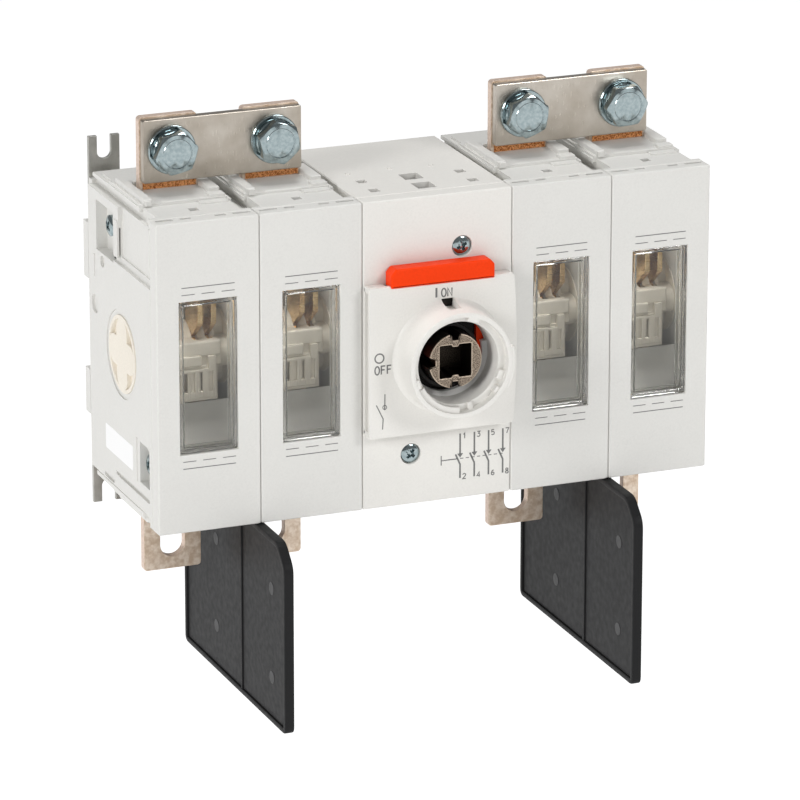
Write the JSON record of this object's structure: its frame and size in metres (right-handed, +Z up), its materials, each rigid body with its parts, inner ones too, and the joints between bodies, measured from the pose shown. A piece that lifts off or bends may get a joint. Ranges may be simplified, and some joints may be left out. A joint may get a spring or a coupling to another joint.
{
  "type": "load-break switch",
  "caption": "Four-pole panel load-break switch with visible contacts behind clear windows, a rotary drive socket, jumper bars and phase barriers.",
  "frame": {"origin": "middle of the mounting plane, on the back pad of the mechanism", "axes": "+Z up, +X to the right seen from the front, front faces -Y, +Y into the mounting plate"},
  "size_m": [0.2558, 0.126, 0.253],
  "materials": {
    "housing_plastic": "moulded light grey thermoset",
    "mechanism_plastic": "moulded off-white thermoplastic",
    "clear_plastic": "clear polycarbonate",
    "tinned_copper": "tin plated copper",
    "contact_brass": "bare copper alloy",
    "rotor_plastic": "cream glass-filled polyester",
    "chute_steel": "plain steel",
    "shaft_steel": "plain steel",
    "drive_plastic": "black glass-filled nylon",
    "coupler_metal": "sintered metal, nickel-brown",
    "orange_plastic": "moulded orange",
    "zinc_steel": "bright zinc plated",
    "barrier_plastic": "moulded near-black",
    "fork_steel": "dark grey steel"
  },
  "bodies": {
    "root": {"pole_housing_1": "housing_plastic", "pole_cover_1": "housing_plastic", "window_1": "clear_plastic", "line_terminal_1": "tinned_copper", "load_terminal_1": "tinned_copper", "arc_chutes_1": "chute_steel", "pole_housing_2": "housing_plastic", "pole_cover_2": "housing_plastic", "window_2": "clear_plastic", "line_terminal_2": "tinned_copper", "load_terminal_2": "tinned_copper", "arc_chutes_2": "chute_steel", "pole_housing_3": "housing_plastic", "pole_cover_3": "housing_plastic", "window_3": "clear_plastic", "line_terminal_3": "tinned_copper", "load_terminal_3": "tinned_copper", "arc_chutes_3": "chute_steel", "pole_housing_4": "housing_plastic", "pole_cover_4": "housing_plastic", "window_4": "clear_plastic", "line_terminal_4": "tinned_copper", "load_terminal_4": "tinned_copper", "arc_chutes_4": "chute_steel", "torsion_spring": "shaft_steel", "mechanism_housing": "mechanism_plastic", "mechanism_cover": "mechanism_plastic", "handle_bezel": "mechanism_plastic", "front_screws": "zinc_steel", "tie_rods": "zinc_steel", "tie_nuts": "zinc_steel", "terminal_screws": "zinc_steel", "terminal_bolts": "zinc_steel", "terminal_washers": "zinc_steel", "terminal_nuts": "zinc_steel", "fork_screws": "zinc_steel", "jumper_bar_left": "tinned_copper", "jumper_bar_right": "tinned_copper", "phase_barrier_left": "barrier_plastic", "phase_barrier_right": "barrier_plastic", "mounting_forks": "fork_steel"},
    "drive": {"drive_gear": "drive_plastic", "shaft_coupler": "coupler_metal", "coupler_pin": "shaft_steel"},
    "contact_rotor": {"contact_shaft": "shaft_steel", "output_gear": "shaft_steel", "rotor_1": "rotor_plastic", "rotor_2": "rotor_plastic", "rotor_3": "rotor_plastic", "rotor_4": "rotor_plastic", "moving_contacts_1": "contact_brass", "moving_contacts_2": "contact_brass", "moving_contacts_3": "contact_brass", "moving_contacts_4": "contact_brass"},
    "lock": {"shaft_lock": "orange_plastic"}
  },
  "joints": [
    {"name": "drive_turn", "type": "hinge", "parent": "root", "child": "drive", "pos_m": [0.002, -0.08, -0.001], "axis": [0, 1, 0], "range_deg": [0, 90], "deforming": ["torsion_spring"]},
    {"name": "contact_turn", "type": "hinge", "parent": "root", "child": "contact_rotor", "pos_m": [0, -0.048, -0.001], "axis": [-1, 0, 0], "range_deg": [0, 45]},
    {"name": "lock_slide", "type": "slide", "parent": "root", "child": "lock", "axis": [0, 0, 1], "range_m": [0, 0.005]}
  ],
  "couplings": [
    {"joint": "contact_turn", "follows": "drive_turn", "ratio": 0.5}
  ]
}
